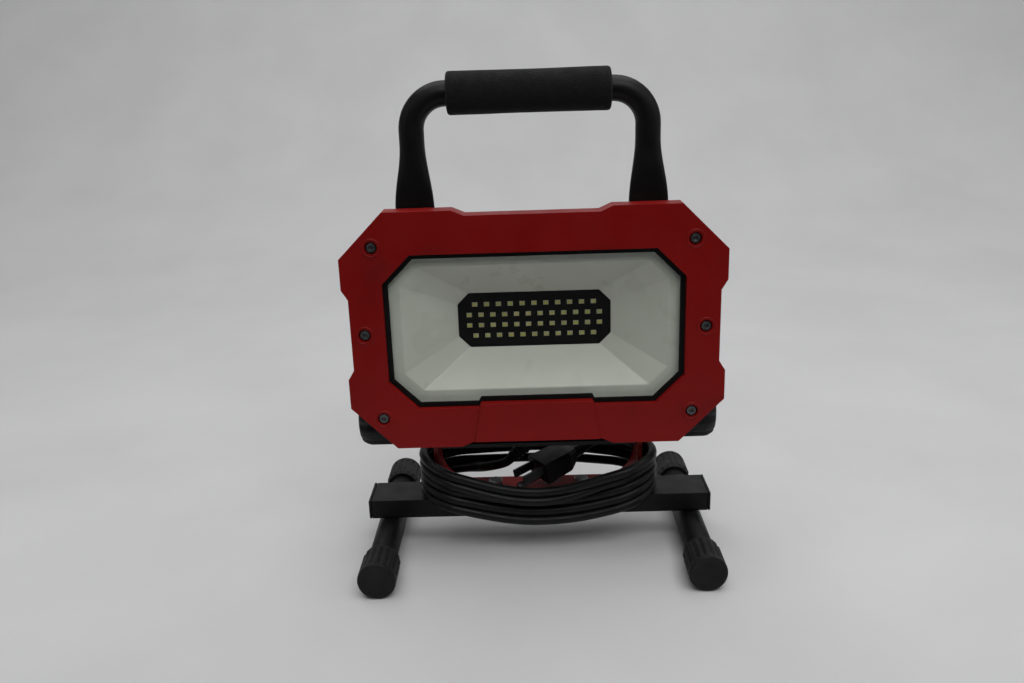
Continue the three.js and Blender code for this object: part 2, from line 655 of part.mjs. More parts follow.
function footTube() {
  const tube = ring(FOOT_TUBE_R - 1.5, FOOT_TUBE_R, -FOOT_HALF_L + 4, FOOT_HALF_L - 4, Y_AXIS, [0, 0, CAP_R]);
  return carve(tube, rod(2.8, 0, 2 * CAP_R, Z_AXIS, [0, 0, 0], 12));
}

function footScrew() {
  const seat = CAP_R - FOOT_TUBE_R - GAP;
  return fuse(
    rod(4.6, 0.9, seat, Z_AXIS, [0, 0, 0], 16),
    rod(2.5, seat - 0.2, BAR_LOW + 5, Z_AXIS, [0, 0, 0], 12),
  );
}

// A foot cap drawn with its closed end at y = 0 and its mouth towards +Y.
function footCap() {
  const star = Array.from({ length: 4 * CAP_RIBS }, (_, i) => {
    const a = -Math.PI / 2 + (2 * Math.PI * (i + 0.5)) / (4 * CAP_RIBS) - Math.PI / (2 * CAP_RIBS);
    const r = i % 4 < 2 ? CAP_R : CAP_R - 0.9;
    return [r * Math.cos(a), r * Math.sin(a)];
  });
  const low = Math.min(...star.map(([, z]) => z));
  const ribbed = plate(star.map(([x, z]) => [x, z - low]), 0, CAP_LONG - 3);
  const collar = rod(CAP_R - 0.9, CAP_LONG - 4, CAP_LONG, Y_AXIS, [0, 0, CAP_R]);
  const bore = rod(FOOT_TUBE_R + GAP, 3.7, CAP_LONG + 1, Y_AXIS, [0, 0, CAP_R]);
  return carve(fuse(ribbed, collar), bore);
}

add(root, "crossbar", crossbar(), BLACK_METAL);
const boltShape = yokeBolt();
const nutShape = yokeNut();
const tubeShape = footTube();
const footScrewShape = footScrew();
const frontCap = footCap();
for (const [side, sign] of SIDES) {
  add(root, `yoke_bolt_${side}`, boltShape, STEEL, [sign * YOKE_BOLT_X, 0, 0]);
  add(root, `yoke_nut_${side}`, nutShape, STEEL, [sign * YOKE_BOLT_X, 0, 0]);
  add(root, `end_plug_${side}`, endPlug(sign), BLACK_PLASTIC);
  add(root, `foot_tube_${side}`, tubeShape, BLACK_METAL, [sign * FOOT_X, 0, 0]);
  add(root, `foot_screw_${side}`, footScrewShape, STEEL, [sign * FOOT_X, 0, 0]);
  for (const [end, turn] of [["front", 0], ["rear", Math.PI]]) {
    const holder = new THREE.Group();
    holder.position.set(sign * FOOT_X, turn ? FOOT_HALF_L : -FOOT_HALF_L, 0);
    holder.rotation.z = turn;
    root.add(holder);
    add(holder, `foot_cap_${end}_${side}`, frontCap, RUBBER);
  }
}

// ---- Mains cord, coil and plug ----
// The coil's solid follows a stadium round both arms: low in front of the crossbar, higher at its ends.
function coilSection(s) {
  const straight = 2 * COIL_STRAIGHT;
  const bend = Math.PI * COIL_ARC_R;
  const run = s * 2 * (straight + bend);
  let x;
  let y;
  let a;
  if (run < straight) {
    [x, y, a] = [-COIL_STRAIGHT + run, 0, -Math.PI / 2];
  } else if (run < straight + bend) {
    [x, y, a] = [COIL_STRAIGHT, 0, -Math.PI / 2 + (run - straight) / COIL_ARC_R];
  } else if (run < 2 * straight + bend) {
    [x, y, a] = [COIL_STRAIGHT - (run - straight - bend), 0, Math.PI / 2];
  } else {
    [x, y, a] = [-COIL_STRAIGHT, 0, Math.PI / 2 + (run - 2 * straight - bend) / COIL_ARC_R];
  }
  const [nx, ny] = [Math.cos(a), Math.sin(a)];
  const reach = Math.abs(x + COIL_ARC_R * nx) / (COIL_STRAIGHT + COIL_ARC_R);
  const lift = Math.min(1, reach / 0.9) ** 2.6;
  const front = Math.max(0, -ny);
  const low = lerp(lerp(44, 21.5, front), 37.2, lift);
  const high = lerp(lerp(67.5, 52, front), 70.4, lift);
  const outer = COIL_ARC_R + COIL_HALF_THICK + 4.8 * (1 - lift);
  const inner = COIL_ARC_R - COIL_HALF_THICK;
  const soft = 2.5;
  const profile = [
    [inner, low + soft], [inner + soft, low], [outer - soft, low], [outer, low + soft],
    [outer, high - soft], [outer - soft, high], [inner + soft, high], [inner, high - soft],
  ];
  return profile.map(([r, z]) => [x + nx * r, y + ny * r, z]);
}

const COIL_STATIONS = 36;
const coil = loft(Array.from({ length: COIL_STATIONS }, (_, i) => coilSection(i / COIL_STATIONS)), true);
add(root, "cord_coil", coil, CORD_JACKET);

const leadStart = alongGland(RELIEF_END + 2 * GAP);
const leadPoints = [
  [leadStart[0], leadStart[1], leadStart[2] + PIVOT_Z],
  [-21, 0.4, 58.1],
  [-26, 2.6, 54.8],
  [-33, 8, 50.8],
  [-40, 14, 47.2],
  [-44.5, 18.4, 45],
];
add(root, "cord_lead", cordAlong(leadPoints, CORD_R, 12, 10), CORD_JACKET);

// The plug is drawn along +X from its cable end, then laid between the yoke's arms.
const PLUG_AT = [37, 17, 62];
const PLUG_ALONG = [-0.83, -0.52, -0.2];
const PLUG_RELIEF = 14;
const PLUG_END = 44;
const plug = new THREE.Group();
plug.position.set(...PLUG_AT);
const plugY = new THREE.Vector3(0, 0, 1).cross(new THREE.Vector3(...PLUG_ALONG)).normalize();
const plugX = new THREE.Vector3(...PLUG_ALONG).normalize();
plug.setRotationFromMatrix(new THREE.Matrix4().makeBasis(plugX, plugY, plugX.clone().cross(plugY)));
root.add(plug);

function plugBody() {
  const slab = (x, halfW, halfH) => [
    [x, -halfW, -halfH + 2], [x, -halfW + 2, -halfH], [x, halfW - 2, -halfH], [x, halfW, -halfH + 2],
    [x, halfW, halfH - 2], [x, halfW - 2, halfH], [x, -halfW + 2, halfH], [x, -halfW, halfH - 2],
  ];
  const body = loft([slab(PLUG_RELIEF, 6, 5), slab(PLUG_RELIEF + 9, 11.5, 7.5), slab(PLUG_END, 12.5, 8)]);
  return fuse(body, turned([[0, 0], [4, 0], [5.4, PLUG_RELIEF + 1], [0, PLUG_RELIEF + 1]], X_AXIS, [0, 0, 0], 12));
}

add(plug, "plug_body", plugBody(), BLACK_PLASTIC);
for (const [side, sign] of SIDES) {
  const blade = box(PLUG_END + GAP, PLUG_END + 17, sign * 6.35 - 0.75, sign * 6.35 + 0.75, -1, 5.3);
  add(plug, `plug_blade_${side}`, blade, STEEL);
}
add(plug, "plug_earth_pin", rod(2.4, PLUG_END + GAP, PLUG_END + 19, X_AXIS, [0, 0, -4.6], 14), STEEL);

const tailPoints = [
  PLUG_AT.map((value, i) => value - 3 * PLUG_ALONG[i] * GAP),
  [39.4, 18.6, 62.8],
  [42, 19.2, 64],
  [45, 19.2, 66],
];
add(root, "cord_tail", cordAlong(tailPoints, CORD_R, 6, 10), CORD_JACKET);

export default root;
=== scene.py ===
"""The look of a portable LED work light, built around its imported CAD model."""

import math

import bmesh
import bpy
from mathutils import Matrix, Vector, noise


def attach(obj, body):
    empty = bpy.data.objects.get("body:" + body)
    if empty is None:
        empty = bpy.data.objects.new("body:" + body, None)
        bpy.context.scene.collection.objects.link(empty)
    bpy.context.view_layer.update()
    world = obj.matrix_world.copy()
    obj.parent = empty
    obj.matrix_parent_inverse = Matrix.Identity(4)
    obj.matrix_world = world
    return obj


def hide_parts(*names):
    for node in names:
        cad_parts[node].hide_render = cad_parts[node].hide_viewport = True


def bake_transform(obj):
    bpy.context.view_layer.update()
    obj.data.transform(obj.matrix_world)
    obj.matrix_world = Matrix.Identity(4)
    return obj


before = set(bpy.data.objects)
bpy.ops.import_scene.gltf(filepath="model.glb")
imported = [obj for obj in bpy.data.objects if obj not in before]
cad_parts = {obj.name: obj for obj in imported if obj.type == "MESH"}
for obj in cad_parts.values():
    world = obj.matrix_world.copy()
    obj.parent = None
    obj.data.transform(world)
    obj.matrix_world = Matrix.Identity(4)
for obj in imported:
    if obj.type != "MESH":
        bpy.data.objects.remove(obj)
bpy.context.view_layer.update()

MM = 0.001
PIVOT = Vector((0, 0, 0.095))
FACE_MIDDLE = 0.168
LED_PITCH_X = 7.9
LED_PITCH_Z = 7.2
SIDES = (("left", -1), ("right", 1))


def ease(t):
    t = min(1, max(0, t))
    return t * t * (3 - 2 * t)


def mixed(a, b, t):
    return a + (b - a) * t


# ---- Camera ----
def place_camera(position, yaw, pitch, roll, lens):
    """A camera looking along +Y, turned by yaw, tipped down by pitch and rolled about its own view."""
    yaw, pitch, roll = (math.radians(a) for a in (yaw, pitch, roll))
    ahead = Vector((math.sin(yaw) * math.cos(pitch), math.cos(yaw) * math.cos(pitch), -math.sin(pitch)))
    level = Vector((math.cos(yaw), -math.sin(yaw), 0))
    above = level.cross(ahead)
    right = level * math.cos(roll) + above * math.sin(roll)
    up = above * math.cos(roll) - level * math.sin(roll)
    data = bpy.data.cameras.new("camera")
    data.lens = lens
    data.sensor_width = 36
    data.clip_start = 0.01
    camera = bpy.data.objects.new("camera", data)
    bpy.context.collection.objects.link(camera)
    turn = Matrix((right, up, -ahead)).transposed().to_4x4()
    camera.matrix_world = Matrix.Translation(position) @ turn
    bpy.context.scene.camera = camera


place_camera(Vector((-0.0045, -0.6084, 0.3335)), yaw=-1.06, pitch=16.98, roll=-1.95, lens=32.34)


# ---- Meshes ----
SHARP_ANGLE = math.radians(28)
FLAT_ANGLE = math.radians(1.5)
WELD_GAP = 4e-6
CURVE_STEPS = 24


def mesh_piece(name, points, faces, smooth=True):
    """A mesh object from points in metres."""
    mesh = bpy.data.meshes.new(name)
    mesh.from_pydata([tuple(p) for p in points], [], faces)
    mesh.validate()
    bm = bmesh.new()
    bm.from_mesh(mesh)
    bmesh.ops.remove_doubles(bm, verts=bm.verts, dist=1e-6)
    bmesh.ops.recalc_face_normals(bm, faces=bm.faces)
    bm.to_mesh(mesh)
    bm.free()
    for polygon in mesh.polygons:
        polygon.use_smooth = smooth
    obj = bpy.data.objects.new(name, mesh)
    bpy.context.collection.objects.link(obj)
    return obj


def finish_piece(obj, body, surface, slot, *nodes):
    """Gives a piece its material and body, and hides the CAD nodes that it stands for."""
    obj.data.materials.clear()
    obj.data.materials.append(surface)
    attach(obj, body)
    if nodes:
        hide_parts(*nodes)
    return obj


def refined(node, width, rule=None, segments=3, least=SHARP_ANGLE, corners=1000):
    """A copy of a CAD node with its edges rounded. rule gives an edge its share of the width, and
    flat faces with more than the given number of corners are left in triangles."""
    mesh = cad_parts[node].data.copy()
    mesh.materials.clear()
    obj = bpy.data.objects.new(f"{node}_look", mesh)
    bpy.context.collection.objects.link(obj)
    bm = bmesh.new()
    bm.from_mesh(mesh)
    bmesh.ops.remove_doubles(bm, verts=bm.verts, dist=WELD_GAP)
    bmesh.ops.dissolve_limit(bm, angle_limit=FLAT_ANGLE, verts=bm.verts, edges=bm.edges)
    bmesh.ops.triangulate(bm, faces=[face for face in bm.faces if len(face.verts) > corners])
    weight = bm.edges.layers.float.new("bevel_weight_edge")
    for edge in bm.edges:
        if len(edge.link_faces) != 2 or edge.calc_face_angle(0) < least:
            continue
        middle = (edge.verts[0].co + edge.verts[1].co) / 2
        edge[weight] = 1 if rule is None else rule(middle, edge)
        edge.smooth = edge[weight] > 0
    for face in bm.faces:
        face.smooth = True
    bm.to_mesh(mesh)
    bm.free()
    bevel = obj.modifiers.new("round", "BEVEL")
    bevel.limit_method = "WEIGHT"
    bevel.width = width
    bevel.segments = segments
    bevel.use_clamp_overlap = True
    bevel.miter_outer = "MITER_ARC"
    weighted = obj.modifiers.new("flat", "WEIGHTED_NORMAL")
    weighted.keep_sharp = True
    weighted.weight = 100
    return obj


def lathe(name, profile, axis, at, sides=64, radius_at=None):
    """A solid of revolution. profile is (radius, height) pairs along axis, and it gets flat ends where it
    doesn't return to its start. radius_at(angle, height, r) may change a radius round the turn."""
    axis = Vector(axis).normalized()
    turn = Vector((0, 0, 1)).rotation_difference(axis).to_matrix()
    points = []
    faces = []
    for r, h in profile:
        for i in range(sides):
            a = 2 * math.pi * i / sides
            reach = radius_at(a, h, r) if radius_at else r
            points.append(Vector(at) + turn @ Vector((reach * math.cos(a), reach * math.sin(a), h)))
    rows = len(profile)
    for j in range(rows - 1):
        for i in range(sides):
            k = (i + 1) % sides
            faces.append((j * sides + i, j * sides + k, (j + 1) * sides + k, (j + 1) * sides + i))
    if profile[0][0] > 1e-6 and profile[0] != profile[-1]:
        faces.append(tuple(range(sides))[::-1])
        faces.append(tuple(range((rows - 1) * sides, rows * sides)))
    return mesh_piece(name, points, faces)


def rounded(corners, radius, steps=5):
    """An open outline with its inner corners rounded; radius is a number, or one for each corner."""
    points = []
    count = len(corners)
    for i, corner in enumerate(corners):
        here = Vector(corner)
        r = radius[i] if isinstance(radius, (list, tuple)) else radius
        if i in (0, count - 1) or r <= 0:
            points.append(here)
            continue
        before = Vector(corners[i - 1]) - here
        after = Vector(corners[i + 1]) - here
        cut = min(r, before.length * 0.49, after.length * 0.49)
        a = here + before.normalized() * cut
        b = here + after.normalized() * cut
        for k in range(steps + 1):
            t = k / steps
            points.append(a * (1 - t) ** 2 + here * 2 * t * (1 - t) + b * t ** 2)
    return [tuple(p) for p in points]


def cut_fine(outline, step):
    """An outline in millimetres cut into pieces of about one step, in metres and without its last point."""
    fine = []
    for (r0, h0), (r1, h1) in zip(outline, outline[1:]):
        cuts = max(1, round(math.hypot(r1 - r0, h1 - h0) / step))
        fine += [(mixed(r0, r1, i / cuts) * MM, mixed(h0, h1, i / cuts) * MM) for i in range(cuts)]
    return fine


def in_metres(pairs):
    return [(a * MM, b * MM) for a, b in pairs]


def tube(name, path, radius, sides=20):
    """A closed mesh tube along points in metres."""
    points = []
    faces = []
    count = len(path)
    normal = Vector((0, 0, 1))
    for i, p in enumerate(path):
        ahead = (path[min(i + 1, count - 1)] - path[max(i - 1, 0)]).normalized()
        side = (normal - ahead * normal.dot(ahead)).normalized()
        normal = side
        other = ahead.cross(side)
        for k in range(sides):
            a = 2 * math.pi * k / sides
            points.append(p + (side * math.cos(a) + other * math.sin(a)) * radius)
    for i in range(count - 1):
        for k in range(sides):
            n = (k + 1) % sides
            faces.append((i * sides + k, i * sides + n, (i + 1) * sides + n, (i + 1) * sides + k))
    faces.append(tuple(range(sides))[::-1])
    faces.append(tuple(range((count - 1) * sides, count * sides)))
    return mesh_piece(name, points, faces)


def smooth_path(points, spacing):
    """Points evenly spaced on a centripetal Catmull-Rom curve through the given ones."""
    ends = [points[0] * 2 - points[1], *points, points[-1] * 2 - points[-2]]
    fine = []
    for i in range(len(points) - 1):
        p0, p1, p2, p3 = ends[i:i + 4]
        t0 = 0.0
        t1 = t0 + math.sqrt((p1 - p0).length)
        t2 = t1 + math.sqrt((p2 - p1).length)
        t3 = t2 + math.sqrt((p3 - p2).length)
        for k in range(CURVE_STEPS):
            t = t1 + (t2 - t1) * k / CURVE_STEPS
            a1 = p0 * ((t1 - t) / (t1 - t0)) + p1 * ((t - t0) / (t1 - t0))
            a2 = p1 * ((t2 - t) / (t2 - t1)) + p2 * ((t - t1) / (t2 - t1))
            a3 = p2 * ((t3 - t) / (t3 - t2)) + p3 * ((t - t2) / (t3 - t2))
            b1 = a1 * ((t2 - t) / (t2 - t0)) + a2 * ((t - t0) / (t2 - t0))
            b2 = a2 * ((t3 - t) / (t3 - t1)) + a3 * ((t - t1) / (t3 - t1))
            fine.append(b1 * ((t2 - t) / (t2 - t1)) + b2 * ((t - t1) / (t2 - t1)))
    fine.append(points[-1].copy())
    total = sum((b - a).length for a, b in zip(fine, fine[1:]))
    count = max(2, round(total / spacing))
    even = [fine[0]]
    run = 0.0
    for a, b in zip(fine, fine[1:]):
        step = (b - a).length
        while len(even) < count and run + step >= total * len(even) / count:
            share = (total * len(even) / count - run) / step
            even.append(a.lerp(b, share))
        run += step
    even.append(fine[-1])
    return even


# ---- Materials ----
def material(name, color, roughness, metallic=0.0, **sockets):
    """A Principled material; extra sockets are plain values by their names with _ for a space."""
    mat = bpy.data.materials.new(name)
    mat.use_nodes = True
    shader = mat.node_tree.nodes["Principled BSDF"]
    shader.inputs["Base Color"].default_value = (*color, 1)
    shader.inputs["Roughness"].default_value = roughness
    shader.inputs["Metallic"].default_value = metallic
    for socket, value in sockets.items():
        shader.inputs[socket.replace("_", " ")].default_value = value
    return mat


def node(mat, kind, **values):
    new = mat.node_tree.nodes.new(kind)
    for key, value in values.items():
        if hasattr(new, key):
            setattr(new, key, value)
        else:
            new.inputs[key].default_value = value
    return new


def link(mat, source, target):
    mat.node_tree.links.new(source, target)


def object_space(mat):
    return node(mat, "ShaderNodeTexCoord").outputs["Object"]


def noise_node(mat, scale, detail=3.0, stretch=None):
    texture = node(mat, "ShaderNodeTexNoise", Scale=scale, Detail=detail)
    place = object_space(mat)
    if stretch:
        mapping = node(mat, "ShaderNodeMapping")
        mapping.inputs["Scale"].default_value = stretch
        link(mat, place, mapping.inputs["Vector"])
        place = mapping.outputs["Vector"]
    link(mat, place, texture.inputs["Vector"])
    return texture.outputs["Fac"]


def ramp(mat, source, stops):
    """A colour ramp; stops are (place, colour) pairs."""
    new = node(mat, "ShaderNodeValToRGB")
    while len(new.color_ramp.elements) < len(stops):
        new.color_ramp.elements.new(0.5)
    for element, (place, color) in zip(new.color_ramp.elements, stops):
        element.position = place
        element.color = (*color, 1)
    link(mat, source, new.inputs["Fac"])
    return new.outputs["Color"]


def spread(mat, source, low, high):
    """Stretches the middle of a noise's range over low to high."""
    new = node(mat, "ShaderNodeMapRange")
    new.inputs["From Min"].default_value = 0.3
    new.inputs["From Max"].default_value = 0.7
    new.inputs["To Min"].default_value = low
    new.inputs["To Max"].default_value = high
    link(mat, source, new.inputs["Value"])
    return new.outputs["Result"]


def shader_of(mat):
    return mat.node_tree.nodes["Principled BSDF"]


def vary_color(mat, stops, scale, detail):
    source = ramp(mat, noise_node(mat, scale, detail), stops)
    link(mat, source, shader_of(mat).inputs["Base Color"])


def vary_roughness(mat, low, high, scale, detail=4.0, stretch=None):
    source = spread(mat, noise_node(mat, scale, detail, stretch), low, high)
    link(mat, source, shader_of(mat).inputs["Roughness"])


def bumps(mat, *layers, stretch=None):
    """Bump layers of (scale, depth in metres, detail), each on top of the one before."""
    last = None
    for scale, depth, detail in layers:
        bump = node(mat, "ShaderNodeBump", Strength=1.0, Distance=depth)
        link(mat, noise_node(mat, scale, detail, stretch), bump.inputs["Height"])
        if last is not None:
            link(mat, last, bump.inputs["Normal"])
        last = bump.outputs["Normal"]
    link(mat, last, shader_of(mat).inputs["Normal"])


def shades(color, low, high):
    """The same colour darker and lighter, as the two ends of a ramp."""
    return [(0.25, tuple(c * low for c in color)), (0.75, tuple(c * high for c in color))]


def red_plastic():
    mat = material("red_plastic", (0.235, 0.004, 0.0035), 0.42, Specular_IOR_Level=0.22)
    smudge = [(0.28, (0.18, 0.004, 0.0035)), (0.42, (0.23, 0.004, 0.0034)), (0.7, (0.252, 0.0042, 0.0036))]
    vary_color(mat, smudge, 22, 5)
    vary_roughness(mat, 0.36, 0.52, 60, 5)
    bumps(mat, (1900, 0.000045, 2), (35, 0.00012, 2))
    return mat


def black_plastic():
    color = (0.0055, 0.0055, 0.0058)
    mat = material("black_plastic", color, 0.5, Specular_IOR_Level=0.25)
    vary_color(mat, shades(color, 0.7, 1.5), 70, 5)
    vary_roughness(mat, 0.42, 0.6, 90)
    bumps(mat, (2200, 0.00005, 2))
    return mat


def black_powder():
    color = (0.0038, 0.0038, 0.004)
    mat = material("black_powder", color, 0.4, Specular_IOR_Level=0.22)
    vary_color(mat, shades(color, 0.7, 1.6), 45, 5)
    vary_roughness(mat, 0.34, 0.52, 70)
    bumps(mat, (1400, 0.00005, 3), (60, 0.00008, 2))
    return mat


def cast_black():
    color = (0.008, 0.008, 0.0085)
    mat = material("cast_black", color, 0.55, Specular_IOR_Level=0.28)
    vary_color(mat, shades(color, 0.7, 1.5), 60, 5)
    vary_roughness(mat, 0.48, 0.66, 120)
    bumps(mat, (1100, 0.00012, 3), (90, 0.00012, 2))
    return mat


def red_powder():
    color = (0.25, 0.006, 0.005)
    mat = material("red_powder", color, 0.36, Specular_IOR_Level=0.3)
    vary_color(mat, shades(color, 0.78, 1.12), 50, 4)
    vary_roughness(mat, 0.3, 0.46, 80)
    bumps(mat, (1300, 0.00006, 3))
    return mat


def rubber(name, color, low, high):
    mat = material(name, color, (low + high) / 2, Specular_IOR_Level=0.22)
    vary_color(mat, shades(color, 0.65, 1.6), 90, 5)
    vary_roughness(mat, low, high, 110)
    bumps(mat, (1700, 0.00006, 3), (240, 0.00006, 2))
    return mat


def foam():
    color = (0.004, 0.004, 0.0043)
    mat = material("foam", color, 0.95, Specular_IOR_Level=0.2)
    shader_of(mat).inputs["Sheen Weight"].default_value = 0.05
    shader_of(mat).inputs["Sheen Roughness"].default_value = 0.6
    cells = node(mat, "ShaderNodeTexVoronoi", Scale=900.0)
    link(mat, object_space(mat), cells.inputs["Vector"])
    # Painted shade: the colour is darkest at the bottom of each pit of the cell bump and lighter towards
    # the pit rims.
    tints = [(0.0, (0.0015, 0.0015, 0.0015)), (0.55, (0.0065, 0.0065, 0.007))]
    link(mat, ramp(mat, cells.outputs["Distance"], tints), shader_of(mat).inputs["Base Color"])
    vary_roughness(mat, 0.85, 1.0, 160)
    pits = node(mat, "ShaderNodeBump", Strength=0.9, Distance=0.0003)
    link(mat, cells.outputs["Distance"], pits.inputs["Height"])
    dents = node(mat, "ShaderNodeBump", Strength=0.8, Distance=0.0009)
    link(mat, noise_node(mat, 60, 4), dents.inputs["Height"])
    link(mat, pits.outputs["Normal"], dents.inputs["Normal"])
    link(mat, dents.outputs["Normal"], shader_of(mat).inputs["Normal"])
    return mat


def metal(name, color, roughness, stretch=None):
    mat = material(name, color, roughness, 1.0)
    vary_color(mat, shades(color, 0.75, 1.1), 160, 4)
    vary_roughness(mat, roughness * 0.8, roughness * 1.35, 300, 4, stretch)
    bumps(mat, (1500, 0.00002, 3), stretch=stretch)
    return mat


def reflector_white():
    mat = material("reflector_white", (0.74, 0.745, 0.68), 0.3, Specular_IOR_Level=0.45)
    tints = [(0.3, (0.70, 0.705, 0.635)), (0.7, (0.76, 0.765, 0.70))]
    vary_color(mat, tints, 30, 3)
    vary_roughness(mat, 0.24, 0.38, 60)
    bumps(mat, (28, 0.00035, 2), (1500, 0.00001, 2))
    return mat


def lens_glass():
    """Clear sheet that lets the lamps through, with a plain gloss on top."""
    mat = bpy.data.materials.new("lens_glass")
    mat.use_nodes = True
    nodes = mat.node_tree.nodes
    nodes.remove(nodes["Principled BSDF"])
    clear = node(mat, "ShaderNodeBsdfTransparent")
    clear.inputs["Color"].default_value = (0.955, 0.965, 0.955, 1)
    gloss = node(mat, "ShaderNodeBsdfGlossy")
    gloss.inputs["Color"].default_value = (0.9, 0.9, 0.9, 1)
    link(mat, spread(mat, noise_node(mat, 40, 5), 0.03, 0.12), gloss.inputs["Roughness"])
    mix = node(mat, "ShaderNodeMixShader", Fac=0.022)
    link(mat, clear.outputs["BSDF"], mix.inputs[1])
    link(mat, gloss.outputs["BSDF"], mix.inputs[2])
    link(mat, mix.outputs["Shader"], nodes["Material Output"].inputs["Surface"])
    return mat


def board_black():
    color = (0.0025, 0.0024, 0.0022)
    mat = material("board_black", color, 0.35, Specular_IOR_Level=0.25)
    vary_color(mat, shades(color, 0.7, 1.6), 200, 4)
    vary_roughness(mat, 0.28, 0.45, 160)
    bumps(mat, (1800, 0.00003, 2))
    return mat


def board_green():
    color = (0.018, 0.10, 0.04)
    mat = material("board_green", color, 0.35)
    vary_color(mat, shades(color, 0.7, 1.3), 260, 4)
    vary_roughness(mat, 0.28, 0.45, 160)
    bumps(mat, (900, 0.00004, 2))
    return mat


def chip_body():
    color = (0.50, 0.50, 0.40)
    mat = material("chip_body", color, 0.5)
    vary_color(mat, shades(color, 0.85, 1.1), 700, 2)
    vary_roughness(mat, 0.42, 0.6, 500)
    bumps(mat, (4000, 0.00001, 2))
    return mat


def phosphor():
    """Each chip's own shade of yellow comes from which cell of the grid it stands in."""
    mat = material("phosphor", (0.55, 0.52, 0.16), 0.45, Specular_IOR_Level=0.5)
    snap = node(mat, "ShaderNodeVectorMath", operation="SNAP")
    snap.inputs[1].default_value = (LED_PITCH_X / 2 * MM, 1, LED_PITCH_Z * MM)
    link(mat, object_space(mat), snap.inputs[0])
    pick = node(mat, "ShaderNodeTexWhiteNoise")
    link(mat, snap.outputs["Vector"], pick.inputs["Vector"])
    tints = [
        (0.0, (0.46, 0.45, 0.20)),
        (0.4, (0.56, 0.50, 0.15)),
        (0.7, (0.50, 0.52, 0.11)),
        (1.0, (0.66, 0.58, 0.30)),
    ]
    link(mat, ramp(mat, pick.outputs["Value"], tints), shader_of(mat).inputs["Base Color"])
    vary_roughness(mat, 0.38, 0.55, 900)
    bumps(mat, (3000, 0.00002, 2))
    return mat


RED_PLASTIC = red_plastic()
BLACK_PLASTIC = black_plastic()
BLACK_POWDER = black_powder()
CAST_BLACK = cast_black()
RED_POWDER = red_powder()
CAP_RUBBER = rubber("cap_rubber", (0.0075, 0.0075, 0.0078), 0.5, 0.7)
GASKET_RUBBER = rubber("gasket_rubber", (0.003, 0.003, 0.003), 0.5, 0.7)
CORD_JACKET = rubber("cord_jacket", (0.0048, 0.005, 0.0053), 0.34, 0.5)
FOAM = foam()
STEEL = metal("zinc_steel", (0.42, 0.43, 0.44), 0.35)
DARK_STEEL = metal("dark_steel", (0.16, 0.16, 0.165), 0.4)
BRASS = metal("brass", (0.62, 0.45, 0.18), 0.3, (1, 6, 1))
ALUMINIUM = metal("aluminium", (0.6, 0.61, 0.62), 0.35, (8, 1, 1))
REFLECTOR_WHITE = reflector_white()
LENS_GLASS = lens_glass()
BOARD_BLACK = board_black()
BOARD_GREEN = board_green()
CHIP_BODY = chip_body()
PHOSPHOR = phosphor()
TAPE = rubber("winding_tape", (0.45, 0.30, 0.05), 0.35, 0.5)


# ---- Mains cord ----
# In millimetres. The lead leaves the head and joins the coil at its rear left. The coil goes round both of
# the yoke's arms, and each height and each step outwards belongs to one turn.
CORD_R = 3.3
COIL_STRAIGHT = 53.4
COIL_ARC_R = 28.4
ARC_RUN = math.pi * COIL_ARC_R
TURN_RUN = 4 * COIL_STRAIGHT + 2 * ARC_RUN
HALF_RUN = COIL_STRAIGHT + ARC_RUN / 2
LEFT_END_Z = (40.6, 47.2, 53.8, 60.4, 67.0)
RIGHT_END_Z = (40.6, 47.2, 53.8, 60.6, 67.2)
FRONT_Z = (24.9, 31.6, 38.3, 41.8, 48.5)
FRONT_OUT = (0.0, -1.2, -1.9, 4.5, 4.0)
REAR_Z = (48.3, 57.4, 64.0, 60.7)
REAR_OUT = (-1.4, -1.4, -1.4, 4.6)
LAST_TURN = len(FRONT_Z) - 1
COIL_START_TURN = math.radians(55)
COIL_FROM = -TURN_RUN + 4 * COIL_STRAIGHT + ARC_RUN + COIL_ARC_R * COIL_START_TURN
RELIEF_TIP = Vector((-18.69, 0, 60.31))
RELIEF_AXIS = Vector((-1, 0, -1)).normalized()
PLUG_AT = Vector((37, 17, 62))
PLUG_HEADING = math.radians(122)
PLUG_SLOPE = 0.2
FIRST_UPPER_TURN = 3
EARLY_CLIMB = 0.12
LATE_CLIMB = -0.1
WOBBLE = 0.2
WOBBLE_RUN = 31
WINDING_STEPS = 480
STRAIGHT_STEPS = 20
ARC_STEPS = 40


def fade(along):
    """0 in the middle of the coil's front or rear, 1 at its ends, level at both."""
    return (1 - math.cos(math.pi * min(1, abs(along) / HALF_RUN))) / 2


def right_rise(k, along):
    """Share of the climb from the front's middle to the right end. The upper two turns climb early."""
    hump = math.sin(math.pi * along / HALF_RUN) ** 2
    return fade(along) + (EARLY_CLIMB if k >= FIRST_UPPER_TURN else LATE_CLIMB) * hump


